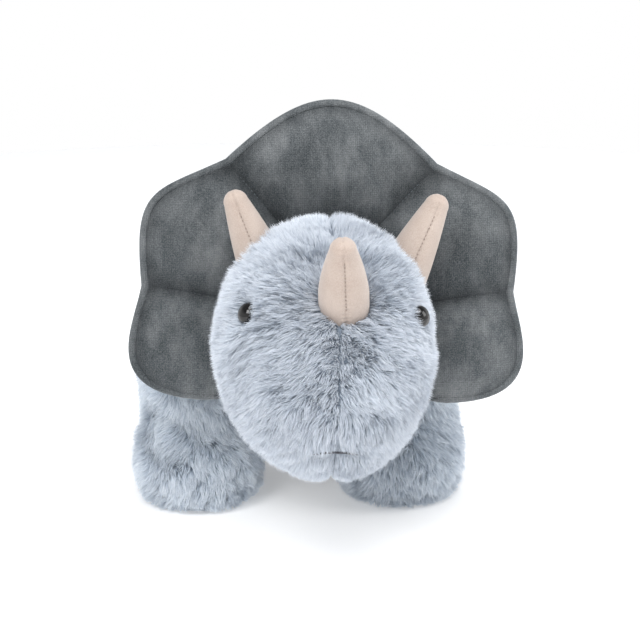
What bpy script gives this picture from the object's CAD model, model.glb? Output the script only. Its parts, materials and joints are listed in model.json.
"""Looks of the stuffed three-horned dinosaur: fur, velvet frill, suede horns, eyes and mouth.

Metres, in the frame's own coordinates. Head pieces are drawn about the neck joint, then leant
with the head. Each furred form is a fabric skin with strands of pile on it, and the large ones are
filled out by the Cloth solver first.
"""

import json
import math

import bpy
import numpy as np
from mathutils import Matrix, Vector, kdtree


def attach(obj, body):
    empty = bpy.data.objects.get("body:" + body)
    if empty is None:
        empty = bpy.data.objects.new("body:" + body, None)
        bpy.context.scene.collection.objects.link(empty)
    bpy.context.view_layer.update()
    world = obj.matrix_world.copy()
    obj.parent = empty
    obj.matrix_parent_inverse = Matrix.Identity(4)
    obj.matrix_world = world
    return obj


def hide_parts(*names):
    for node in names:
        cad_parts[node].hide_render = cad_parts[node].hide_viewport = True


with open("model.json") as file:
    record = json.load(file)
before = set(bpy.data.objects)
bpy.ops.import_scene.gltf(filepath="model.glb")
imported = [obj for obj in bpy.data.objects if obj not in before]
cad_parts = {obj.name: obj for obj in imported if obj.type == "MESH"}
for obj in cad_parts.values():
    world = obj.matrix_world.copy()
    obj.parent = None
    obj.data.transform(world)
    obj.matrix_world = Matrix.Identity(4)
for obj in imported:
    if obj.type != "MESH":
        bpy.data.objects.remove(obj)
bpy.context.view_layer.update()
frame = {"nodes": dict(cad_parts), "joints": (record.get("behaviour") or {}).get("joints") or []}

MM = 0.001
JOINT = {j["name"]: Vector(j["pos_m"]) for j in frame["joints"]}
NECK = JOINT["neck_turn"]
TAIL_ROOT = JOINT["tail_wag"]
LEGS = ("front_right", "front_left", "rear_right", "rear_left")

# Head, drawn about the neck joint
HEAD_LEAN = math.radians(2.2)
HEAD_PITCH = math.radians(21.0)
HEAD_CENTRE = Vector((0.0, -76.0 * MM, -7.7 * MM))
HEAD_LENGTH = 86.0 * MM
HEAD_HEIGHT = 68.0 * MM
HEAD_WIDTH = 64.0 * MM
CHEEK_RIGHT = 1.035
CHEEK_LEFT = 0.955
HEAD_TAPER = 0.05

# Body, drawn about the tail joint
BODY_OFFSET = Vector((0.0, -85.0 * MM, 12.0 * MM))
BODY_LENGTH = 90.0 * MM
BODY_WIDTH = 80.0 * MM
BODY_RISE = 64.0 * MM
BODY_DROP = 58.0 * MM
BODY_END_POWER = 2.5
BODY_SECTION_POWER = 2.3

NECK_RADIUS = 40.0 * MM
HIP_RADIUS = 38.0 * MM
ANKLE_RADIUS = 36.0 * MM
FOOT_RADIUS = 40.5 * MM
SOLE_RADIUS = 31.0 * MM
TAIL_RADIUS = 26.0 * MM
TAIL_TIP_RADIUS = 11.0 * MM
TAIL_LENGTH = 62.0 * MM
TAIL_DROP = math.radians(27.0)

# Pile: its height, its strands in millimetres and per square metre
PILE = 6.0 * MM
STRAND_LENGTH = 9.0 * MM
STRAND_WIDTH = 0.40 * MM
STRANDS_IN_PIECE = 62000
SEAM_BARE = 0.15 * MM
HEAD_DENSITY = 3.0e6
NECK_DENSITY = 1.2e6
BODY_DENSITY = 1.4e6
TAIL_DENSITY = 2.0e6
FRONT_LEG_PILE = (2.7e6, 0.42 * MM)
REAR_LEG_PILE = (1.6e6, 0.55 * MM)
NECK_BAND = 26.0 * MM

# Horns and eyes, drawn about the neck joint
NOSE_HORN_ARC = math.radians(68.5)
NOSE_HORN_TILT = math.radians(27.0)
NOSE_HORN_OFFSET = 2.5 * MM
NOSE_HORN_LEAN = 0.09
NOSE_HORN = (41.0 * MM, 13.8 * MM, 7.3 * MM)
BROW_HORN_SPOT = Vector((36.8 * MM, -50.0 * MM, 22.0 * MM))
BROW_HORN_END = Vector((60.2 * MM, -44.0 * MM, 75.5 * MM))
BROW_HORN_SHIFT = 3.7 * MM
BROW_HORN = (15.0 * MM, 7.1 * MM)
HORN_ROOT = 12.0 * MM
HORN_BEND = 3.0 * MM
HORN_FULLNESS = 1.5
HORN_SEAM = slice(14, 58)
EYE_SIDE = 48.0 * MM
EYE_ARC = math.radians(71.0)
EYE_RADIUS = 6.2 * MM
EYE_DOME = 4.6 * MM
EYE_INSET = PILE - 1.8 * MM
EYE_CLEARING = {"right": 7.2 * MM, "left": 5.0 * MM}
MOUTH_ARC = math.radians(-5.0)
MOUTH_HALF = 12.5 * MM
MOUTH_DIP = 4.0 * MM

# Frill, drawn about the neck joint
FRILL_ORIGIN = Vector((3.5 * MM, -14.0 * MM, 2.0 * MM))
FRILL_LEAN = math.radians(12.0)
FRILL_INNER = Vector((40.0 * MM, 49.0 * MM))
FRILL_INNER_CENTRE = -10.5 * MM
FRILL_PUFF = 12.5 * MM
FRILL_DISH = 9.0 * MM
FRILL_INNER_ANGLES = [math.radians(a) for a in (118.0, 62.0, 9.0, -62.0)]
TOP_NOTCH = Vector((62.0 * MM, 82.0 * MM))
SIDE_NOTCH = Vector((109.5 * MM, 8.0 * MM))
LOW_END = Vector((62.0 * MM, -57.5 * MM))
TOP_PULL = Vector((12.0 * MM, 130.5 * MM))
UPPER_PULLS = (Vector((106.0 * MM, 60.5 * MM)), Vector((115.5 * MM, 66.0 * MM)))
LOWER_PULLS = (Vector((113.5 * MM, -18.0 * MM)), Vector((139.0 * MM, -59.5 * MM)))
LOBE_STEPS = 34
RIM_STEPS = 30
RIM_REACH = 0.955
RIM_RADIUS = 2.4 * MM

# Camera and studio
VIEW_AZIMUTH = math.radians(-4.0)
VIEW_ELEVATION = math.radians(17.0)
VIEW_DISTANCE = 1.15
VIEW_LENS = 107.8
VIEW_TARGET = NECK + Vector((-0.8 * MM, -14.0 * MM, -10.2 * MM))
FLOOR_RADIUS = 1.1
PANELS = (  # name, place from the camera's target, side in metres, watts
    ("key_panel", Vector((-0.6, -1.05, 1.05)), 0.8, 16.0),
    ("top_panel", Vector((0.2, -0.35, 1.45)), 1.0, 14.5),
    ("side_panel", Vector((1.2, -0.25, 0.7)), 0.8, 7.0),
)

UPWARD = Vector((0.0, 0.0, 1.0))
BACKWARD = Vector((0.0, 1.0, 0.0))

LEAN = Matrix.Rotation(HEAD_LEAN, 3, "Y")
LEAN_NP = np.array(LEAN)


# ---------------------------------------------------------------- shapes

def add_object(name, mesh, material):
    mesh.materials.append(material)
    obj = bpy.data.objects.new(name, mesh)
    bpy.context.scene.collection.objects.link(obj)
    return obj


def vertex_values(mesh, key):
    """The place or the normal of each vertex, one to a row."""
    values = np.empty(len(mesh.vertices) * 3)
    mesh.vertices.foreach_get(key, values)
    return values.reshape(-1, 3)


def move_vertices(mesh, places):
    mesh.vertices.foreach_set("co", places.ravel())
    mesh.update()


def grid_mesh(name, rows, material, closed=True):
    """A smooth object from rows of points. Closed joins the row ends and fans both end rows."""
    verts = [tuple(p) for row in rows for p in row]
    width = len(rows[0])
    faces = []
    for i in range(len(rows) - 1):
        for j in range(width if closed else width - 1):
            k = (j + 1) % width
            faces.append((i * width + j, i * width + k, (i + 1) * width + k, (i + 1) * width + j))
    if closed:
        for row, first in ((rows[0], 0), (rows[-1], (len(rows) - 1) * width)):
            middle = sum((Vector(p) for p in row), Vector()) / width
            verts.append(tuple(middle))
            for j in range(width):
                pair = (first + (j + 1) % width, first + j)
                faces.append((len(verts) - 1, *(pair if first == 0 else pair[::-1])))
    mesh = bpy.data.meshes.new(name)
    mesh.from_pydata(verts, [], faces)
    mesh.validate()
    if closed and signed_volume(mesh) < 0.0:
        mesh.flip_normals()
    mesh.update()
    for polygon in mesh.polygons:
        polygon.use_smooth = True
    return add_object(name, mesh, material)


def signed_volume(mesh):
    """Positive when a closed mesh's faces look outwards."""
    mesh.calc_loop_triangles()
    total = 0.0
    middle = sum((v.co for v in mesh.vertices), Vector()) / len(mesh.vertices)
    for triangle in mesh.loop_triangles:
        a, b, c = (mesh.vertices[i].co - middle for i in triangle.vertices)
        total += a.dot(b.cross(c))
    return total


def signed_power(value, power):
    return math.copysign(abs(value) ** power, value)


def on_head(p):
    """From the upright drawing about the neck joint to the leaning head."""
    return NECK + LEAN @ p


def head_axes():
    c = math.cos(HEAD_PITCH)
    s = math.sin(HEAD_PITCH)
    return Vector((0.0, -c, -s)), Vector((0.0, -s, c))


def head_point(arc, around, inset):
    forward, up = head_axes()
    girth = math.sin(arc) * (1.0 - HEAD_TAPER * math.cos(arc))
    cheek = CHEEK_LEFT if math.cos(around) > 0.0 else CHEEK_RIGHT
    side = (HEAD_WIDTH * cheek - inset) * girth * math.cos(around)
    rise = (HEAD_HEIGHT - inset) * girth * math.sin(around)
    reach = (HEAD_LENGTH - inset) * math.cos(arc)
    return HEAD_CENTRE + Vector((side, 0.0, 0.0)) + up * rise + forward * reach


def head_normal(p):
    forward, up = head_axes()
    d = p - HEAD_CENTRE
    grad = Vector((d.x / HEAD_WIDTH**2, 0.0, 0.0))
    grad += forward * (d.dot(forward) / HEAD_LENGTH**2)
    grad += up * (d.dot(up) / HEAD_HEIGHT**2)
    return grad.normalized()


def head_rows(inset, rings, sides):
    rows = []
    for i in range(1, rings):
        arc = math.pi * i / rings
        rows.append([on_head(head_point(arc, 2.0 * math.pi * j / sides, inset)) for j in range(sides)])
    return rows


def body_rows(inset, rings, sides):
    centre = TAIL_ROOT + BODY_OFFSET
    rows = []
    for i in range(1, rings):
        end = math.pi * i / rings
        reach = -signed_power(math.cos(end), 2.0 / BODY_END_POWER)
        girth = math.sin(end) ** (2.0 / BODY_END_POWER)
        row = []
        for j in range(sides):
            around = 2.0 * math.pi * j / sides
            side = signed_power(math.cos(around), 2.0 / BODY_SECTION_POWER)
            rise = signed_power(math.sin(around), 2.0 / BODY_SECTION_POWER)
            tall = (BODY_RISE if rise > 0.0 else BODY_DROP) - inset
            row.append(centre + Vector((
                (BODY_WIDTH - inset) * girth * side,
                (BODY_LENGTH - inset) * reach,
                tall * girth * rise,
            )))
        rows.append(row)
    return rows


def turned_rows(centre, axis, up, profile, sides):
    """Rings about a line through centre; profile holds (distance along the line, radius)."""
    other = axis.cross(up).normalized()
    rows = []
    for along, radius in profile:
        ring = []
        for j in range(sides):
            b = 2.0 * math.pi * j / sides
            ring.append(centre + axis * along + (other * math.cos(b) + up * math.sin(b)) * radius)
        rows.append(ring)
    return rows


def smooth_curve(points, steps):
    """Points of a Catmull-Rom curve through (distance, radius) pairs."""
    padded = [points[0], *points, points[-1]]
    out = []
    for a, b, c, d in zip(padded, padded[1:], padded[2:], padded[3:]):
        for k in range(steps):
            t = k / steps
            out.append(tuple(
                0.5 * (2 * q + (r - p) * t + (2 * p - 5 * q + 4 * r - s) * t * t
                       + (3 * q - p - 3 * r + s) * t**3)
                for p, q, r, s in zip(a, b, c, d)
            ))
    out.append(tuple(points[-1]))
    return out


def leg_profile(inset):
    """Heights above the floor and radii of a leg's skin, from the sole up to the hip dome."""
    hip = JOINT["front_left_leg_swing"].z
    side = [
        (1.8 * MM, SOLE_RADIUS - inset),
        (5.5 * MM, FOOT_RADIUS - 5.0 * MM - inset),
        (11.5 * MM, FOOT_RADIUS - 1.0 * MM - inset),
        (24.0 * MM, FOOT_RADIUS + 1.2 * MM - inset),
        (36.0 * MM, FOOT_RADIUS + 0.4 * MM - inset),
        (55.0 * MM, ANKLE_RADIUS + 0.6 * MM - inset),
        (67.0 * MM, ANKLE_RADIUS + 0.4 * MM - inset),
    ]
    dome = HIP_RADIUS - inset
    for k in range(0, 9):
        a = math.radians(80.0) * k / 8.0
        side.append((hip + dome * math.sin(a), dome * math.cos(a)))
    return smooth_curve(side, 3)


def tail_profile(inset):
    points = []
    ball = TAIL_RADIUS - inset
    for k in range(5):
        a = math.radians(-60.0 + 15.0 * k)
        points.append((ball * math.sin(a), ball * math.cos(a)))
    for k in range(6):
        t = k / 5.0
        radius = ball + (TAIL_TIP_RADIUS - inset - ball) * t
        points.append((8.0 * MM + (TAIL_LENGTH - 8.0 * MM) * t, radius + 1.2 * MM * math.sin(math.pi * t)))
    tip = TAIL_TIP_RADIUS - inset
    for k in range(1, 4):
        a = math.radians(28.0 * k)
        points.append((TAIL_LENGTH + tip * math.sin(a), tip * math.cos(a)))
    return smooth_curve(points, 3)


def tail_axes():
    c = math.cos(TAIL_DROP)
    s = math.sin(TAIL_DROP)
    return Vector((0.0, c, -s)), Vector((0.0, s, c))


def horn_frames():
    """Name, base, axis, sideways direction and sizes of the three horns."""
    nose = head_point(NOSE_HORN_ARC, math.pi / 2.0, 0.0) + Vector((NOSE_HORN_OFFSET, 0.0, 0.0))
    axis = Vector((-NOSE_HORN_LEAN, -math.sin(NOSE_HORN_TILT), math.cos(NOSE_HORN_TILT))).normalized()
    side = axis.cross(Vector((0.0, -1.0, 0.0))).normalized()
    horns = [("nose_horn", nose, axis, side, *NOSE_HORN)]
    for sign, word in ((-1.0, "right"), (1.0, "left")):
        shift = Vector((BROW_HORN_SHIFT, 0.0, 0.0))
        base = shift + Vector((sign * BROW_HORN_SPOT.x, BROW_HORN_SPOT.y, BROW_HORN_SPOT.z))
        end = shift + Vector((sign * BROW_HORN_END.x, BROW_HORN_END.y, BROW_HORN_END.z))
        axis = (end - base).normalized()
        side = axis.cross(Vector((0.0, -1.0, 0.0))).normalized()
        horns.append((word + "_brow_horn", base, axis, side, (end - base).length, *BROW_HORN))
    return horns


def eye_seats():
    """Cloth point under each eye and the direction it looks, in the head's drawing."""
    forward, up = head_axes()
    shrink = math.sqrt(1.0 - (EYE_SIDE / (HEAD_WIDTH - EYE_INSET)) ** 2)
    seats = {}
    for sign, word in ((-1.0, "right"), (1.0, "left")):
        spot = HEAD_CENTRE + Vector((sign * EYE_SIDE, 0.0, 0.0))
        spot += forward * ((HEAD_LENGTH - EYE_INSET) * shrink * math.cos(EYE_ARC))
        spot += up * ((HEAD_HEIGHT - EYE_INSET) * shrink * math.sin(EYE_ARC))
        seats[word] = (spot, head_normal(spot))
    return seats


def mouth_line(height, steps=24):
    """Points of the mouth: a short arch that droops a little at both ends."""
    forward, up = head_axes()
    points = []
    for i in range(steps + 1):
        t = 2.0 * i / steps - 1.0
        spot = head_point(abs(MOUTH_ARC), -math.pi / 2.0, 0.0)
        spot += Vector((t * MOUTH_HALF, 0.0, 0.0)) - up * (MOUTH_DIP * t * t)
        d = spot - HEAD_CENTRE
        for _ in range(6):
            reach = d.dot(forward) / (HEAD_LENGTH + height)
            girth = 1.0 - HEAD_TAPER * reach
            side = d.x / ((HEAD_WIDTH + height) * girth)
            rise = d.dot(up) / ((HEAD_HEIGHT + height) * girth)
            d = d / math.sqrt(reach**2 + side**2 + rise**2)
        points.append(HEAD_CENTRE + d)
    return points


# ---------------------------------------------------------------- materials

class Shader:
    """A Principled material and short ways to add and join its nodes."""

    def __init__(self, name, **sockets):
        self.material = bpy.data.materials.new(name)
        self.material.use_nodes = True
        self.tree = self.material.node_tree
        self.shader = self.tree.nodes["Principled BSDF"]
        for socket, value in sockets.items():
            self.shader.inputs[socket.replace("_", " ")].default_value = value

    def node(self, kind, **values):
        node = self.tree.nodes.new(kind)
        for key, value in values.items():
            if hasattr(node, key):
                setattr(node, key, value)
            else:
                node.inputs[key.replace("_", " ")].default_value = value
        return node

    def link(self, source, target):
        self.tree.links.new(source, target)

    def ramp(self, source, *stops):
        node = self.node("ShaderNodeValToRGB")
        elements = node.color_ramp.elements
        while len(elements) < len(stops):
            elements.new(0.5)
        for element, (place, colour) in zip(elements, stops):
            element.position = place
            element.color = (*colour, 1.0)
        self.link(source, node.inputs["Fac"])
        return node.outputs["Color"]

    def mix(self, factor, a, b, blend="MIX"):
        node = self.node("ShaderNodeMix", data_type="RGBA", blend_type=blend)
        for value, socket in ((factor, node.inputs[0]), (a, node.inputs[6]), (b, node.inputs[7])):
            if isinstance(value, (int, float)):
                socket.default_value = value
            elif isinstance(value, tuple):
                socket.default_value = (*value, 1.0)
            else:
                self.link(value, socket)
        return node.outputs[2]

    def bump(self, height, strength, distance, below=None):
        node = self.node("ShaderNodeBump")
        node.inputs["Strength"].default_value = strength
        node.inputs["Distance"].default_value = distance
        self.link(height, node.inputs["Height"])
        if below is not None:
            self.link(below, node.inputs["Normal"])
        return node.outputs["Normal"]

    def noise(self, scale, detail=3.0, rough=0.55, stretch=None):
        coords = self.tree.nodes.get("coords") or self.node("ShaderNodeTexCoord", name="coords")
        source = coords.outputs["Object"]
        if stretch:
            mapping = self.node("ShaderNodeMapping")
            mapping.inputs["Scale"].default_value = stretch
            self.link(source, mapping.inputs["Vector"])
            source = mapping.outputs["Vector"]
        node = self.node("ShaderNodeTexNoise", Scale=scale, Detail=detail, Roughness=rough)
        self.link(source, node.inputs["Vector"])
        return node.outputs["Fac"]


def fur_cloth_material(name, dark, light):
    """The knitted ground that the pile grows from: dull, mottled, with loop-sized bumps."""
    m = Shader(name, Roughness=0.95, Sheen_Weight=0.3, Sheen_Roughness=0.5)
    mottle = m.noise(90.0)
    loops = m.noise(1400.0, 2.0)
    broad = m.ramp(mottle, (0.3, dark), (0.7, light))
    colour = m.mix(0.35, broad, m.ramp(loops, (0.35, dark), (0.7, light)))
    m.link(colour, m.shader.inputs["Base Color"])
    m.link(m.bump(loops, 0.8, 0.6 * MM), m.shader.inputs["Normal"])
    return m.material


def fur_material(name, root, middle, tip):
    """Pile fibre: across the strand map runs the tone, up it runs root to tip."""
    m = Shader(name, Roughness=0.6, Specular_IOR_Level=0.25, Sheen_Weight=0.5, Sheen_Roughness=0.35)
    strand_map = m.node("ShaderNodeUVMap", uv_map="OFBake")
    split = m.node("ShaderNodeSeparateXYZ")
    m.link(strand_map.outputs["UV"], split.inputs["Vector"])
    along = m.ramp(split.outputs["Y"], (0.0, root), (0.42, middle), (1.0, tip))
    tones = (0.0, (0.66, 0.69, 0.74)), (0.5, (0.95, 0.96, 0.97)), (1.0, (1.18, 1.16, 1.13))
    tone = m.ramp(split.outputs["X"], *tones)
    m.link(m.mix(1.0, along, tone, "MULTIPLY"), m.shader.inputs["Base Color"])
    return m.material


def velvet_material(name, shaded):
    """Short woven pile: fine ribs, brushed lighter patches, speckled nap and a soft sheen.
    A shaded one takes the crushed, darker nap beside its seams from the mesh's own map."""
    m = Shader(
        name, Roughness=0.82, Specular_IOR_Level=0.25, Sheen_Weight=0.55, Sheen_Roughness=0.38,
        Sheen_Tint=(0.75, 0.83, 0.9, 1.0),
    )
    brushed = m.noise(22.0, 5.0, 0.62)
    patches = m.noise(70.0, 4.0, 0.6, (1.0, 1.0, 0.45))
    nap = m.noise(1500.0, 2.0, 0.7)
    coords = m.tree.nodes["coords"].outputs["Object"]
    ribs = m.node("ShaderNodeTexWave", bands_direction="Z", Scale=230.0, Distortion=1.2, Detail=1.0)
    m.link(coords, ribs.inputs["Vector"])
    threads = m.node("ShaderNodeTexWave", bands_direction="X", Scale=250.0, Distortion=1.4, Detail=1.0)
    m.link(coords, threads.inputs["Vector"])
    deep = (0.036, 0.044, 0.049)
    slate = (0.084, 0.095, 0.102)
    pale = (0.245, 0.256, 0.263)
    base = m.ramp(brushed, (0.41, deep), (0.52, slate), (0.65, pale))
    base = m.mix(0.5, base, m.ramp(patches, (0.42, deep), (0.68, pale)))
    base = m.mix(0.32, base, m.ramp(nap, (0.40, (0.030, 0.036, 0.040)), (0.64, (0.25, 0.26, 0.265))))
    weave = m.mix(0.5, ribs.outputs["Color"], threads.outputs["Color"])
    base = m.mix(0.22, base, m.mix(1.0, base, weave, "MULTIPLY"))
    if shaded:
        crushed = m.node("ShaderNodeVertexColor", layer_name="nap").outputs["Color"]
        shade = m.ramp(crushed, (0.0, (0.22, 0.23, 0.24)), (1.0, (1.0, 1.0, 1.0)))
        base = m.mix(1.0, base, shade, "MULTIPLY")
    m.link(base, m.shader.inputs["Base Color"])
    woven = m.bump(weave, 0.35, 0.25 * MM)
    m.link(m.bump(nap, 0.55, 0.35 * MM, woven), m.shader.inputs["Normal"])
    return m.material


def suede_material(name):
    """Cream brushed cloth: matt, faintly mottled, a fine fibre grain along the horn."""
    m = Shader(name, Roughness=0.88, Specular_IOR_Level=0.2, Sheen_Weight=0.35, Sheen_Roughness=0.5)
    mottle = m.noise(60.0, 4.0)
    grain = m.noise(1800.0, 3.0, 0.7)
    fibre = m.noise(700.0, 3.0, 0.6, (1.0, 1.0, 0.3))
    base = m.ramp(mottle, (0.3, (0.40, 0.318, 0.272)), (0.72, (0.485, 0.405, 0.355)))
    base = m.mix(0.30, base, m.ramp(grain, (0.35, (0.34, 0.27, 0.228)), (0.68, (0.62, 0.535, 0.47))))
    m.link(base, m.shader.inputs["Base Color"])
    under = m.bump(fibre, 0.3, 0.3 * MM)
    m.link(m.bump(grain, 0.5, 0.25 * MM, under), m.shader.inputs["Normal"])
    return m.material


def thread_material(name, dark, light):
    m = Shader(name, Roughness=0.7, Sheen_Weight=0.2)
    twist = m.noise(2200.0, 1.0)
    m.link(m.ramp(twist, (0.35, dark), (0.65, light)), m.shader.inputs["Base Color"])
    m.link(m.bump(twist, 0.4, 0.15 * MM), m.shader.inputs["Normal"])
    return m.material


def eye_material(name):
    m = Shader(name, Roughness=0.08, Specular_IOR_Level=0.4, Coat_Weight=0.25, Coat_Roughness=0.03)
    depth = m.noise(240.0, 2.0)
    black = m.ramp(depth, (0.3, (0.002, 0.002, 0.002)), (0.8, (0.006, 0.005, 0.005)))
    m.link(black, m.shader.inputs["Base Color"])
    return m.material


def filling_material(name):
    m = Shader(name, Roughness=0.95)
    fluff = m.noise(420.0, 5.0)
    m.link(m.ramp(fluff, (0.3, (0.72, 0.72, 0.70)), (0.7, (0.92, 0.92, 0.90))), m.shader.inputs["Base Color"])
    m.link(m.bump(fluff, 0.8, 1.0 * MM), m.shader.inputs["Normal"])
    return m.material


def washer_material(name):
    m = Shader(name, Roughness=0.45)
    grain = m.noise(500.0, 2.0)
    m.link(m.ramp(grain, (0.3, (0.70, 0.70, 0.69)), (0.7, (0.80, 0.80, 0.79))), m.shader.inputs["Base Color"])
    m.link(m.bump(grain, 0.1, 0.1 * MM), m.shader.inputs["Normal"])
    return m.material


# ---------------------------------------------------------------- cloth

def inflate(obj, pinned, pressure, cap, frames=20):
    scene = bpy.context.scene
    before = vertex_values(obj.data, "co")
    group = obj.vertex_groups.new(name="held")
    for index in np.nonzero(pinned > 0.01)[0]:
        group.add([int(index)], float(pinned[index]), "REPLACE")
    cloth = obj.modifiers.new("cloth", "CLOTH")
    settings = cloth.settings
    settings.effector_weights.gravity = 0.0
    settings.use_pressure = True
    settings.uniform_pressure_force = pressure
    settings.mass = 0.2
    settings.tension_stiffness = 25.0
    settings.compression_stiffness = 25.0
    settings.shear_stiffness = 12.0
    settings.bending_stiffness = 1.5
    settings.vertex_group_mass = "held"
    settings.pin_stiffness = 1.0
    settings.time_scale = 0.6
    cloth.point_cache.frame_end = frames
    for number in range(1, frames + 1):
        scene.frame_set(number)
    evaluated = obj.evaluated_get(bpy.context.evaluated_depsgraph_get())
    after = vertex_values(evaluated.data, "co")
    obj.modifiers.remove(cloth)
    obj.vertex_groups.remove(group)
    move = np.nan_to_num(after - before)
    size = np.linalg.norm(move, axis=1, keepdims=True)
    move *= np.minimum(1.0, cap / np.maximum(size, 1e-9))
    move_vertices(obj.data, before + move)
    scene.frame_set(1)


# ---------------------------------------------------------------- fur

def surface_arrays(obj):
    """Triangle corners and corner normals of a mesh, as arrays."""
    mesh = obj.data
    mesh.calc_loop_triangles()
    tris = np.empty(len(mesh.loop_triangles) * 3, dtype=np.int64)
    mesh.loop_triangles.foreach_get("vertices", tris)
    tris = tris.reshape(-1, 3)
    return vertex_values(mesh, "co")[tris], vertex_values(mesh, "normal")[tris]


def scatter(obj, density, rng):
    """Random roots over a mesh, density in strands per square metre, with their normals."""
    corners, normals = surface_arrays(obj)
    one = corners[:, 1] - corners[:, 0]
    two = corners[:, 2] - corners[:, 0]
    area = 0.5 * np.linalg.norm(np.cross(one, two), axis=1)
    count = int(area.sum() * density)
    pick = rng.choice(len(area), size=count, p=area / area.sum())
    a = rng.random((count, 1))
    b = rng.random((count, 1))
    flip = (a + b) > 1.0
    a = np.where(flip, 1.0 - a, a)
    b = np.where(flip, 1.0 - b, b)
    weights = np.concatenate([1.0 - a - b, a, b], axis=1)[:, :, None]
    roots = (corners[pick] * weights).sum(axis=1)
    out = unit((normals[pick] * weights).sum(axis=1))
    return roots, out


def unit(v):
    return v / np.maximum(np.linalg.norm(v, axis=1, keepdims=True), 1e-12)


def ripple(points, wavelength, seed):
    """A smooth vector field that varies over wavelength, for tufts and waves in the pile."""
    rng = np.random.default_rng(seed)
    field = np.zeros_like(points)
    for _ in range(10):
        wave = unit(rng.normal(size=(1, 3))) * (2.0 * math.pi / wavelength) * rng.uniform(0.6, 1.5)
        push = rng.normal(size=3) * 0.42
        field += np.sin(points @ wave.T + rng.uniform(0.0, 6.28)) * push
    return field


def gather(roots, tips, spacing, pull, rng):
    """Draws each tip towards the tip of its tuft's middle strand."""
    count = max(8, int(len(roots) * spacing))
    leaders = rng.choice(len(roots), size=count, replace=False)
    tree = kdtree.KDTree(count)
    for number, leader in enumerate(leaders):
        tree.insert(roots[leader], number)
    tree.balance()
    nearest = np.fromiter((tree.find(p)[1] for p in roots), dtype=np.int64, count=len(roots))
    return tips + (tips[leaders[nearest]] - tips) * pull


def pile(name, base, body, material, density, comb, seed, keep,
         length=STRAND_LENGTH, width=STRAND_WIDTH, scale=None):
    """Strands of fur over base. comb(points) gives the way the pile lies, keep(points, normals)
    says which strands stay and scale(points) how long each is. A big pile becomes several objects."""
    rng = np.random.default_rng(seed)
    roots, normals = scatter(base, density, rng)
    stay = keep(roots, normals)
    roots = roots[stay]
    normals = normals[stay]
    count = len(roots)
    lay = comb(roots)
    lay = lay - normals * (lay * normals).sum(axis=1, keepdims=True)
    sizes = length * rng.uniform(0.74, 1.1, (count, 1))
    if scale is not None:
        sizes *= scale(roots)[:, None]
    wander = ripple(roots, 8.0 * MM, seed + 1) * 0.11 + ripple(roots, 26.0 * MM, seed + 2) * 0.15
    jitter = rng.normal(size=(count, 3)) * 0.10
    rise = unit(normals + lay * 0.30 + wander + jitter)
    fall = unit(normals * 0.70 + lay * 0.72 + wander * 1.5 + jitter * 1.8)
    middle = roots + rise * sizes * 0.5
    tips = middle + fall * sizes * 0.5
    tips = gather(roots, tips, 0.05, rng.uniform(0.05, 0.5, (count, 1)), rng)
    middle = middle * 0.7 + (roots + tips) * 0.5 * 0.3
    for points in (middle, tips):
        points[:, 2] = np.maximum(points[:, 2], 0.5 * MM)
    sideways = unit(unit(np.cross(tips - roots, normals)) + rng.normal(size=(count, 3)) * 0.38)
    half = sideways * width * 0.5 * rng.uniform(0.7, 1.25, (count, 1))
    points = np.stack([
        roots - half, roots + half,
        middle - half * 0.8, middle + half * 0.8,
        tips,
    ], axis=1)
    parts = max(1, math.ceil(count / STRANDS_IN_PIECE))
    order = np.argsort(roots[:, 1])
    for number, chosen in enumerate(np.array_split(order, parts)):
        word = name if parts == 1 else "%s_%d" % (name, number + 1)
        fur = strand_object(word, points[chosen], material, rng)
        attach(fur, body)


def strand_object(name, points, material, rng):
    """One mesh of two-step ribbons that taper to a point."""
    count = len(points)
    mesh = bpy.data.meshes.new(name)
    mesh.vertices.add(count * 5)
    mesh.vertices.foreach_set("co", points.reshape(-1).astype(np.float32))
    first = (np.arange(count) * 5)[:, None]
    loops = (first + np.array([[0, 1, 3, 2, 2, 3, 4]])).ravel()
    mesh.loops.add(count * 7)
    mesh.loops.foreach_set("vertex_index", loops.astype(np.int32))
    mesh.polygons.add(count * 2)
    starts = (np.arange(count) * 7)[:, None] + np.array([[0, 4]])
    mesh.polygons.foreach_set("loop_start", starts.ravel().astype(np.int32))
    mesh.polygons.foreach_set("use_smooth", np.ones(count * 2, dtype=bool))
    mesh.update(calc_edges=True)
    uv = mesh.uv_layers.new(name="OFBake")
    tone = np.clip(rng.normal(0.5, 0.17, (count, 1, 1)), 0.03, 0.97)
    corners = [(-0.01, 0.02), (0.01, 0.02), (0.01, 0.5), (-0.01, 0.5), (-0.01, 0.5), (0.01, 0.5), (0.0, 0.98)]
    place = np.repeat(np.array([corners]), count, axis=0)
    place[:, :, 0] += tone[:, :, 0]
    uv.data.foreach_set("uv", place.reshape(-1).astype(np.float32))
    return add_object(name, mesh, material)


def fade(distance, near, far):
    """0 nearer than near, 1 beyond far, smooth between."""
    t = np.clip((distance - near) / (far - near), 0.0, 1.0)
    return t * t * (3.0 - 2.0 * t)


def np_head(points):
    """World points in the head's upright drawing."""
    return (points - np.array(NECK)) @ LEAN_NP


def inside_ball(points, centre, radius):
    return np.linalg.norm(points - np.array(centre), axis=1) < radius


def inside_body(points, inset):
    """Whether points are inside the body's loaf shrunk by inset."""
    d = points - np.array(TAIL_ROOT + BODY_OFFSET)
    tall = np.where(d[:, 2] > 0.0, BODY_RISE, BODY_DROP) - inset
    side = np.abs(d[:, 0] / (BODY_WIDTH - inset)) ** BODY_SECTION_POWER
    rise = np.abs(d[:, 2] / tall) ** BODY_SECTION_POWER
    girth = (side + rise) ** (BODY_END_POWER / BODY_SECTION_POWER)
    reach = np.abs(d[:, 1] / (BODY_LENGTH - inset)) ** BODY_END_POWER
    return girth + reach < 1.0


# ---------------------------------------------------------------- pieces

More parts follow.
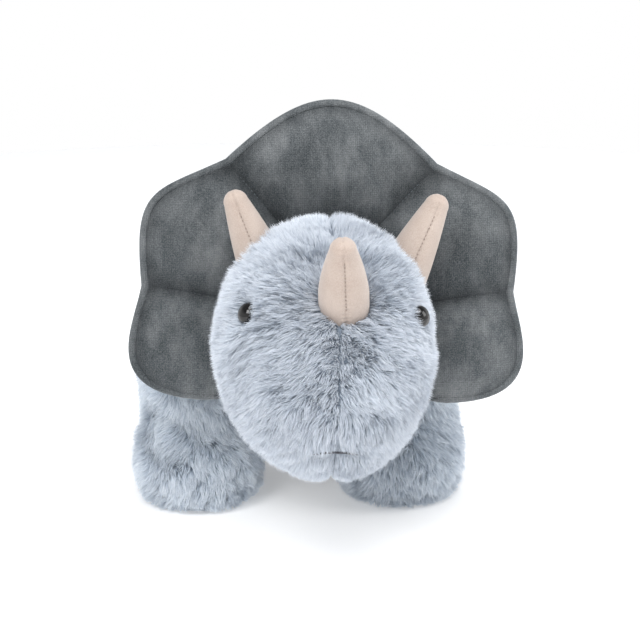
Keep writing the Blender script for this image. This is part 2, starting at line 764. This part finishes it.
FUR_GROUND = fur_cloth_material("fur_ground", (0.22, 0.27, 0.33), (0.38, 0.43, 0.50))
HEAD_FUR = fur_material("head_pile", (0.36, 0.405, 0.47), (0.56, 0.61, 0.675), (0.74, 0.775, 0.83))
LEG_FUR = fur_material("leg_pile", (0.33, 0.395, 0.48), (0.63, 0.70, 0.78), (0.88, 0.92, 0.96))
VELVET = velvet_material("frill_velvet_cloth", True)
VELVET_EDGE = velvet_material("frill_velvet_edge", False)
SUEDE = suede_material("horn_suede_cloth")
SEAM_THREAD = thread_material("frill_seam_thread", (0.035, 0.045, 0.052), (0.09, 0.11, 0.12))
HORN_THREAD = thread_material("horn_seam_thread", (0.20, 0.155, 0.13), (0.36, 0.29, 0.25))
MOUTH_THREAD = thread_material("mouth_thread_dark", (0.02, 0.022, 0.028), (0.06, 0.065, 0.08))
EYE = eye_material("eye_glass_black")


def make_head():
    base = grid_mesh("head_fabric", head_rows(PILE, 56, 72), FUR_GROUND)
    co = vertex_values(base.data, "co")
    local = np_head(co)
    seam = np.exp(-((local[:, 0] / (2.6 * MM)) ** 2))
    inflate(base, np.clip(seam * 1.2, 0.0, 1.0), 3.0, 2.0 * MM)
    sink_seam(base, seam * 0.7 * MM)
    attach(base, "head")
    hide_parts("head_left_skin", "head_right_skin", "head_stuffing")

    seats = eye_seats()
    eye_spots = {word: np.array(spot) for word, (spot, _) in seats.items()}
    mouth = np.array([tuple(p) for p in mouth_line(-PILE)])
    horns = [(np.array(base_), np.array(axis), radius) for _, base_, axis, _, _, radius, _ in horn_frames()]

    def eye_gap(p):
        gaps = [np.linalg.norm(p - spot, axis=1) - EYE_CLEARING[word] for word, spot in eye_spots.items()]
        return np.min(gaps, axis=0)

    def mouth_distance(p):
        return np.min(np.linalg.norm(p[:, None, :] - mouth[None, ::3, :], axis=2), axis=1)

    def horn_distance(p):
        gaps = []
        for spot, axis, radius in horns:
            d = p - spot
            across = d - (d @ axis)[:, None] * axis
            gaps.append(np.linalg.norm(across, axis=1) - radius)
        return np.min(gaps, axis=0)

    def keep(points, normals):
        p = np_head(points)
        stay = eye_gap(p) > 0.0
        stay &= horn_distance(p) > -1.5 * MM
        stay &= np.abs(p[:, 0]) > SEAM_BARE
        stay &= ~inside_ball(points, NECK, NECK_RADIUS - 3.0 * MM)
        return stay

    def comb(points):
        p = np_head(points)
        away = np.sign(p[:, 0]) * np.exp(-((p[:, 0] / (9.0 * MM)) ** 2))
        face = fade(-p[:, 1], 70.0 * MM, 130.0 * MM)
        lay = np.zeros_like(p)
        lay[:, 0] = away * 0.35 + p[:, 0] / (60.0 * MM) * 0.6
        lay[:, 1] = 0.85 - 0.75 * face
        lay[:, 2] = -0.45 - 0.65 * face
        spot = horns[0][0]
        from_horn = p - spot
        near = np.exp(-((np.linalg.norm(from_horn, axis=1) / (23.0 * MM)) ** 2))[:, None]
        lay = lay * (1.0 - near) + unit(from_horn) * near
        gap = p - eye_spots["right"]
        near = np.exp(-((np.linalg.norm(gap, axis=1) / (8.0 * MM)) ** 2))[:, None] * 0.7
        lay = lay * (1.0 - near) + unit(gap) * near
        return lay @ LEAN_NP.T

    def scale(points):
        p = np_head(points)
        size = 0.80 + 0.20 * fade(np.abs(p[:, 0]), 0.5 * MM, 5.0 * MM)
        size *= 0.50 + 0.50 * fade(eye_gap(p), 0.0, 5.5 * MM)
        size *= 0.62 + 0.38 * fade(mouth_distance(p), 1.0 * MM, 6.0 * MM)
        size *= 1.12 - 0.12 * fade(horn_distance(p), 0.0, 10.0 * MM)
        return size

    for sign, word in ((-1.0, "right"), (1.0, "left")):
        def half(points, normals, sign=sign):
            return keep(points, normals) & (np_head(points)[:, 0] * sign > 0.0)
        seed = 11 if sign < 0.0 else 12
        pile(
            "head_" + word + "_fur", base, "head", HEAD_FUR, HEAD_DENSITY, comb, seed, half,
            scale=scale,
        )
    make_eyes(seats)
    make_mouth()


def sink_seam(obj, depth):
    """Draws vertices in along their normals by depth, one value each."""
    mesh = obj.data
    move_vertices(mesh, vertex_values(mesh, "co") - vertex_values(mesh, "normal") * depth[:, None])


def make_eyes(seats):
    for word, (spot, normal) in seats.items():
        profile = [(-1.5 * MM, EYE_RADIUS * 0.9), (-0.6 * MM, EYE_RADIUS)]
        for k in range(1, 15):
            a = 0.5 * math.pi * k / 14.5
            profile.append((EYE_DOME * math.sin(a), EYE_RADIUS * math.cos(a)))
        side = normal.orthogonal().normalized()
        rows = turned_rows(spot, normal, side, profile, 40)
        rows = [[on_head(p) for p in row] for row in rows]
        eye = grid_mesh(word + "_eye_bead", rows, EYE)
        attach(eye, "head")
        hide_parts(word + "_eye")


def tube(name, points, radius, material, body, sides=10):
    """A round thread along points, closed at both ends."""
    rows = []
    count = len(points)
    for i, p in enumerate(points):
        ahead = points[min(i + 1, count - 1)] - points[max(i - 1, 0)]
        ahead.normalize()
        side = ahead.orthogonal() if i == 0 else (side - ahead * side.dot(ahead))
        side.normalize()
        other = ahead.cross(side)
        grow = min(1.0, 0.35 + min(i, count - 1 - i) * 0.4)
        ring = []
        for j in range(sides):
            b = 2.0 * math.pi * j / sides
            ring.append(p + (side * math.cos(b) + other * math.sin(b)) * radius * grow)
        rows.append(ring)
    obj = grid_mesh(name, rows, material)
    if body:
        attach(obj, body)
    return obj


def make_mouth():
    points = [on_head(p) for p in mouth_line(-2.5 * MM, 30)]
    thread = tube("mouth_thread", points, 0.6 * MM, MOUTH_THREAD, "head")
    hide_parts("mouth_stitch")


def make_horns():
    for word, base, axis, side, length, r_base, r_tip in horn_frames():
        other = axis.cross(side).normalized()
        rings = 60
        sides = 72
        straight = length - r_tip
        spine = []
        for i in range(rings + 1):
            h = -HORN_ROOT + (straight + HORN_ROOT) * i / rings
            t = max(0.0, h) / straight
            spine.append((h, r_base + (r_tip - r_base) * t**HORN_FULLNESS))
        for k in range(1, 13):
            a = 0.5 * math.pi * k / 12.5
            spine.append((straight + r_tip * math.sin(a), r_tip * math.cos(a)))
        rows = []
        seam_front = []
        for h, r in spine:
            bend = other * (HORN_BEND * (max(0.0, h) / length) ** 2)
            centre = base + axis * h - bend
            row = []
            pucker = 0.5 + 0.5 * math.sin(2.0 * math.pi * h / (3.1 * MM))
            for j in range(sides):
                b = 2.0 * math.pi * j / sides
                off = abs((b - math.pi / 2.0 + math.pi) % math.pi)
                off = min(off, math.pi - off) * r
                dent = math.exp(-((off / (0.8 * MM)) ** 2)) * (0.55 + 0.55 * pucker) * MM
                swell = 0.35 * MM * math.exp(-(((off - 2.2 * MM) / (1.4 * MM)) ** 2)) * (1.0 - pucker)
                radius = r - dent + swell
                way = side * math.cos(b) + other * math.sin(b)
                row.append(on_head(centre + way * radius))
                if j == 3 * sides // 4:
                    seam_front.append(on_head(centre + way * (r - 0.42 * MM)))
            rows.append(row)
        horn = grid_mesh(word + "_cloth", rows, SUEDE)
        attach(horn, "head")
        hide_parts(word + "_left_skin", word + "_right_skin", word + "_stuffing")
        sewn = seam_front[HORN_SEAM]
        stitches = dashes(word + "_seam", sewn, 0.34 * MM, 2.3 * MM, 0.55, HORN_THREAD)


def bezier(a, b, c, d, t):
    s = 1.0 - t
    return a * s**3 + b * (3.0 * s * s * t) + c * (3.0 * s * t * t) + d * t**3


def mirrored(p):
    return Vector((-p.x, p.y))


def frill_lobes():
    """Five lobes from the low right one over the top to the low left one, as outline curves."""
    upper = (TOP_NOTCH, UPPER_PULLS[0], UPPER_PULLS[1], SIDE_NOTCH)
    lower = (SIDE_NOTCH, LOWER_PULLS[0], LOWER_PULLS[1], LOW_END)
    top = (mirrored(TOP_NOTCH), mirrored(TOP_PULL), TOP_PULL, TOP_NOTCH)
    a = FRILL_INNER_ANGLES
    return [
        ("low_right", tuple(mirrored(p) for p in lower[::-1]), (math.pi - a[3], math.pi - a[2])),
        ("up_right", tuple(mirrored(p) for p in upper[::-1]), (math.pi - a[2], a[0])),
        ("top", top, (a[0], a[1])),
        ("up_left", upper, (a[1], a[2])),
        ("low_left", lower, (a[2], a[3])),
    ]


def frill_point(u, v, w):
    up = Vector((0.0, math.sin(FRILL_LEAN), math.cos(FRILL_LEAN)))
    face = Vector((0.0, -math.cos(FRILL_LEAN), math.sin(FRILL_LEAN)))
    return on_head(FRILL_ORIGIN + Vector((u, 0.0, 0.0)) + up * v + face * w)


def frill_spot(lobe, along, out):
    curve, angles = lobe[1], lobe[2]
    rim = bezier(*curve, along)
    angle = angles[0] + (angles[1] - angles[0]) * along
    inner = Vector((
        FRILL_INNER.x * math.cos(angle),
        FRILL_INNER_CENTRE + FRILL_INNER.y * math.sin(angle),
    ))
    spot = inner.lerp(rim, out)
    return spot.x, spot.y, FRILL_DISH * out**1.5


def puff(along, out):
    across = (4.0 * along * (1.0 - along)) ** 0.75
    radial = (4.0 * out * (1.0 - out)) ** 0.75
    return FRILL_PUFF * across * radial


def nap_shade(along, out):
    """How brushed the nap is: 0 crushed beside a seam or against the head, 1 in mid lobe."""
    side = min(1.0, math.sin(math.pi * along) * 2.6) ** 0.7
    rim = min(1.0, (1.0 - out) * 9.0) ** 0.6
    head = min(1.0, max(0.0, out - 0.06) * 2.3) ** 0.9
    return (0.25 + 0.75 * side) * (0.35 + 0.65 * rim) * (0.15 + 0.85 * head)


def eased(count):
    return [0.5 - 0.5 * math.cos(math.pi * i / count) for i in range(count + 1)]


def make_frill():
    lobes = frill_lobes()
    for face, word in ((1.0, "front"), (-1.0, "back")):
        rows = []
        held = []
        nap = []
        for number, lobe in enumerate(lobes):
            for step, along in enumerate(eased(LOBE_STEPS)):
                if number and not step:
                    continue
                row = []
                for out in eased(RIM_STEPS):
                    u, v, dish = frill_spot(lobe, along, out * RIM_REACH)
                    lift = puff(along, out) * 0.8 + 0.5 * MM + 1.1 * MM * out**8
                    row.append(frill_point(u, v, dish + face * lift))
                    held.append(1.0 if step in (0, LOBE_STEPS) or out in (0.0, 1.0) else 0.0)
                    nap.append(nap_shade(along, out))
                rows.append(row)
        panel = grid_mesh("frill_" + word + "_cloth", rows, VELVET, closed=False)
        if face > 0.0:
            panel.data.flip_normals()
        tones = panel.data.color_attributes.new("nap", "FLOAT_COLOR", "POINT")
        for entry, tone in zip(tones.data, nap):
            entry.color = (tone, tone, tone, 1.0)
        inflate(panel, np.array(held), 2.2, 4.0 * MM)
        solid = panel.modifiers.new("thickness", "SOLIDIFY")
        solid.thickness = 1.4 * MM
        solid.offset = 0.0
        smooth = panel.modifiers.new("smooth", "SUBSURF")
        smooth.levels = 1
        smooth.render_levels = 1
        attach(panel, "head")
        pads = ["frill_pad_" + lobe[0] for lobe in lobes] if face > 0.0 else []
        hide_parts("frill_" + word + "_panel", *pads)
    make_frill_seams(lobes)


def make_frill_seams(lobes):
    """The rolled rim, its stitching in front, and the sewn channels between lobes."""
    rim = []
    sewn = []
    for number, lobe in enumerate(lobes):
        for step in range(1 if number else 0, 41):
            u, v, dish = frill_spot(lobe, step / 40.0, 0.985)
            rim.append(frill_point(u, v, dish))
            u, v, dish = frill_spot(lobe, step / 40.0, RIM_REACH - 0.004)
            sewn.append(frill_point(u, v, dish + 1.9 * MM))
    edge = tube("frill_rim_roll", rim, RIM_RADIUS, VELVET_EDGE, "head", 14)
    stitches = dashes("frill_rim_seam", sewn, 0.32 * MM, 2.6 * MM, 0.75, SEAM_THREAD)
    for number, lobe in enumerate(lobes[:-1]):
        for face, word in ((1.0, "front"), (-1.0, "back")):
            line = []
            for step in range(33):
                u, v, dish = frill_spot(lobe, 1.0, 0.02 + 0.94 * step / 32.0)
                line.append(frill_point(u, v, dish + face * 1.3 * MM))
            name = "frill_channel_%s_%d" % (word, number + 1)
            thread = dashes(name, line, 0.4 * MM, 2.6 * MM, 0.7, SEAM_THREAD)


def dashes(name, line, radius, pitch, share, material):
    """Sewing stitches: short thread lengths along a line, as one piece."""
    lengths = [0.0]
    for a, b in zip(line, line[1:]):
        lengths.append(lengths[-1] + (b - a).length)

    def at(s):
        for k in range(len(line) - 1):
            if s <= lengths[k + 1]:
                return line[k].lerp(line[k + 1], (s - lengths[k]) / (lengths[k + 1] - lengths[k]))
        return line[-1]

    parts = []
    s = pitch * 0.5
    while s + pitch * share < lengths[-1]:
        points = [at(s + pitch * share * k / 4.0) for k in range(5)]
        parts.append(tube(name, points, radius, material, None, 6))
        s += pitch
    verts = []
    faces = []
    for part in parts:
        start = len(verts)
        verts += [tuple(v.co) for v in part.data.vertices]
        faces += [tuple(start + i for i in p.vertices) for p in part.data.polygons]
        bpy.data.objects.remove(part)
    mesh = bpy.data.meshes.new(name)
    mesh.from_pydata(verts, [], faces)
    for polygon in mesh.polygons:
        polygon.use_smooth = True
    obj = add_object(name, mesh, material)
    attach(obj, "head")
    return obj


def make_neck():
    profile = [
        (-(NECK_RADIUS - PILE) * math.cos(a), (NECK_RADIUS - PILE) * math.sin(a))
        for a in (math.pi * k / 24.0 for k in range(1, 24))
    ]
    rows = turned_rows(NECK, BACKWARD, UPWARD, profile, 48)
    base = grid_mesh("neck_fabric", rows, FUR_GROUND)
    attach(base, "neck")
    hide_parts("neck_skin", "neck_stuffing")

    def keep(points, normals):
        gap = np.abs(points[:, 1] - NECK.y)
        return (gap < NECK_BAND) & ~inside_body(points, 2.0 * MM)

    def comb(points):
        return np.tile(np.array([[0.0, 1.0, -0.1]]), (len(points), 1))

    pile("neck_fur", base, "neck", HEAD_FUR, NECK_DENSITY, comb, 21, keep, width=0.6 * MM)


def make_body():
    base = grid_mesh("body_fabric", body_rows(PILE, 56, 80), FUR_GROUND)
    co = vertex_values(base.data, "co")
    seam = np.exp(-(((co[:, 0] - TAIL_ROOT.x) / (3.0 * MM)) ** 2))
    inflate(base, np.clip(seam * 1.2, 0.0, 1.0), 3.0, 2.5 * MM)
    sink_seam(base, seam * 0.7 * MM)
    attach(base, "torso")
    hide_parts("body_left_skin", "body_right_skin")
    hips = [JOINT[leg + "_leg_swing"] for leg in LEGS]

    def keep(points, normals):
        stay = np.abs(points[:, 0] - TAIL_ROOT.x) > SEAM_BARE
        for hip in hips:
            stay &= ~inside_ball(points, hip, HIP_RADIUS - 2.0 * MM)
        stay &= ~inside_ball(points, TAIL_ROOT, TAIL_RADIUS - 2.0 * MM)
        stay &= ~inside_ball(points, NECK, NECK_RADIUS - 3.0 * MM)
        return stay

    def comb(points):
        d = points - np.array(TAIL_ROOT + BODY_OFFSET)
        away = np.sign(d[:, 0]) * np.exp(-((d[:, 0] / (7.0 * MM)) ** 2))
        lay = np.zeros_like(d)
        lay[:, 0] = away * 0.8
        lay[:, 1] = 0.9
        lay[:, 2] = -0.55
        return lay

    def scale(points):
        return 0.80 + 0.20 * fade(np.abs(points[:, 0] - TAIL_ROOT.x), 0.5 * MM, 5.0 * MM)

    for sign, word in ((-1.0, "right"), (1.0, "left")):
        def half(points, normals, sign=sign):
            return keep(points, normals) & ((points[:, 0] - TAIL_ROOT.x) * sign > 0.0)
        seed = 31 if sign < 0.0 else 32
        pile(
            "body_" + word + "_fur", base, "torso", HEAD_FUR, BODY_DENSITY, comb, seed, half,
            width=0.58 * MM, scale=scale,
        )


def make_legs():
    for number, leg in enumerate(LEGS):
        hip = JOINT[leg + "_leg_swing"]
        foot = Vector((hip.x, hip.y, 0.0))
        rows = turned_rows(foot, UPWARD, BACKWARD, leg_profile(PILE), 64)
        base = grid_mesh(leg + "_leg_fabric", rows, FUR_GROUND)
        co = vertex_values(base.data, "co")
        held = np.clip(1.0 - (co[:, 2] - 2.0 * MM) / (6.0 * MM), 0.0, 1.0)
        inflate(base, held, 3.0, 1.8 * MM, 14)
        flat = vertex_values(base.data, "co")
        flat[:, 2] = np.maximum(flat[:, 2], 1.2 * MM)
        move_vertices(base.data, flat)
        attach(base, leg + "_leg")
        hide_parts(leg + "_leg_skin")

        def keep(points, normals):
            stay = ~inside_body(points, 5.0 * MM)
            stay &= (normals[:, 2] > -0.6) | (points[:, 2] > 4.0 * MM)
            return stay

        def comb(points, hip=hip):
            d = points - np.array(hip)
            lay = np.zeros_like(d)
            lay[:, :2] = unit(d[:, :2]) * 0.25
            lay[:, 2] = -1.0
            low = fade(18.0 * MM - points[:, 2], 0.0, 14.0 * MM)
            lay[:, 2] += low * 0.9
            lay[:, :2] += unit(d[:, :2]) * low[:, None] * 0.7
            return lay

        density, width = FRONT_LEG_PILE if leg.startswith("front") else REAR_LEG_PILE
        pile(
            leg + "_leg_fur", base, leg + "_leg", LEG_FUR, density, comb, 41 + number,
            keep, length=10.0 * MM, width=width,
        )
        make_sole(leg, foot)


def make_sole(leg, foot):
    """A flat cloth sole with a rounded edge."""
    r = SOLE_RADIUS - 1.5 * MM
    profile = [
        (0.25 * MM, r - 3.0 * MM), (0.3 * MM, r - 1.4 * MM), (0.7 * MM, r - 0.4 * MM),
        (1.3 * MM, r), (1.9 * MM, r - 0.5 * MM), (2.2 * MM, r - 1.6 * MM),
    ]
    rows = turned_rows(foot, UPWARD, BACKWARD, smooth_curve(profile, 3), 64)
    sole = grid_mesh(leg + "_sole_cloth", rows, FUR_GROUND)
    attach(sole, leg + "_leg")
    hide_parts(leg + "_sole")


def make_tail():
    axis, up = tail_axes()
    rows = turned_rows(TAIL_ROOT, axis, up, tail_profile(PILE - 0.5 * MM), 48)
    base = grid_mesh("tail_fabric", rows, FUR_GROUND)
    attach(base, "tail")
    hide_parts("tail_left_skin", "tail_right_skin")

    def keep(points, normals):
        return ~inside_body(points, 5.0 * MM)

    def comb(points):
        return np.tile(np.array([tuple(axis * 1.2 - up * 0.1)]), (len(points), 1))

    pile(
        "tail_fur", base, "tail", HEAD_FUR, TAIL_DENSITY, comb, 51, keep,
        length=8.0 * MM, width=0.5 * MM,
    )


def dress_cad():
    """Better materials for the inner CAD nodes that stay."""
    filling = filling_material("fibre_filling")
    washer = washer_material("washer_moulded")
    for name, node in frame["nodes"].items():
        material = None
        if name.endswith("_stuffing"):
            material = filling
        elif name.endswith("_washer"):
            material = washer
        if material is not None:
            node.data.materials.clear()
            node.data.materials.append(material)


# ---------------------------------------------------------------- stage

def make_stage():
    ring = [2.0 * math.pi * k / 96 for k in range(96)]
    edge = [(FLOOR_RADIUS * math.cos(a), FLOOR_RADIUS * math.sin(a), 0.0) for a in ring]
    mesh = bpy.data.meshes.new("studio_floor")
    mesh.from_pydata(edge, [], [list(range(len(edge)))])
    paint = Shader(
        "floor_paint", Base_Color=(0.97, 0.97, 0.97, 1.0), Roughness=0.9, Specular_IOR_Level=0.1,
        Emission_Color=(1.0, 1.0, 1.0, 1.0), Emission_Strength=0.26,
    )
    floor = add_object("studio_floor", mesh, paint.material)

    bpy.context.scene.world = studio_sky()
    for name, offset, size, power in PANELS:
        light = bpy.data.lights.new(name, "AREA")
        light.size = size
        light.energy = power
        lamp = bpy.data.objects.new(name, light)
        lamp.location = VIEW_TARGET + offset
        lamp.rotation_euler = (-offset).to_track_quat("-Z", "Y").to_euler()
        bpy.context.scene.collection.objects.link(lamp)


def studio_sky():
    """White round the horizon, dimmer overhead so the panels can shape the toy."""
    world = bpy.data.worlds.new("studio")
    world.use_nodes = True
    tree = world.node_tree
    coords = tree.nodes.new("ShaderNodeTexCoord")
    split = tree.nodes.new("ShaderNodeSeparateXYZ")
    ramp = tree.nodes.new("ShaderNodeValToRGB")
    low, high = ramp.color_ramp.elements
    low.position = 0.20
    low.color = (1.0, 1.0, 1.0, 1.0)
    high.position = 0.55
    high.color = (0.30, 0.31, 0.33, 1.0)
    tree.links.new(coords.outputs["Generated"], split.inputs["Vector"])
    tree.links.new(split.outputs["Z"], ramp.inputs["Fac"])
    tree.links.new(ramp.outputs["Color"], tree.nodes["Background"].inputs["Color"])
    return world


def make_camera():
    a = VIEW_AZIMUTH
    e = VIEW_ELEVATION
    away = Vector((math.sin(a) * math.cos(e), -math.cos(a) * math.cos(e), math.sin(e)))
    camera = bpy.data.cameras.new("photo_camera")
    camera.lens = VIEW_LENS
    camera.sensor_width = 36.0
    obj = bpy.data.objects.new("photo_camera", camera)
    obj.location = VIEW_TARGET + away * VIEW_DISTANCE
    obj.rotation_euler = (-away).to_track_quat("-Z", "Y").to_euler()
    bpy.context.scene.collection.objects.link(obj)
    bpy.context.scene.camera = obj


bpy.context.scene.view_settings.view_transform = "Standard"
make_camera()
make_stage()
dress_cad()
make_head()
make_horns()
make_frill()
make_neck()
make_body()
make_legs()
make_tail()
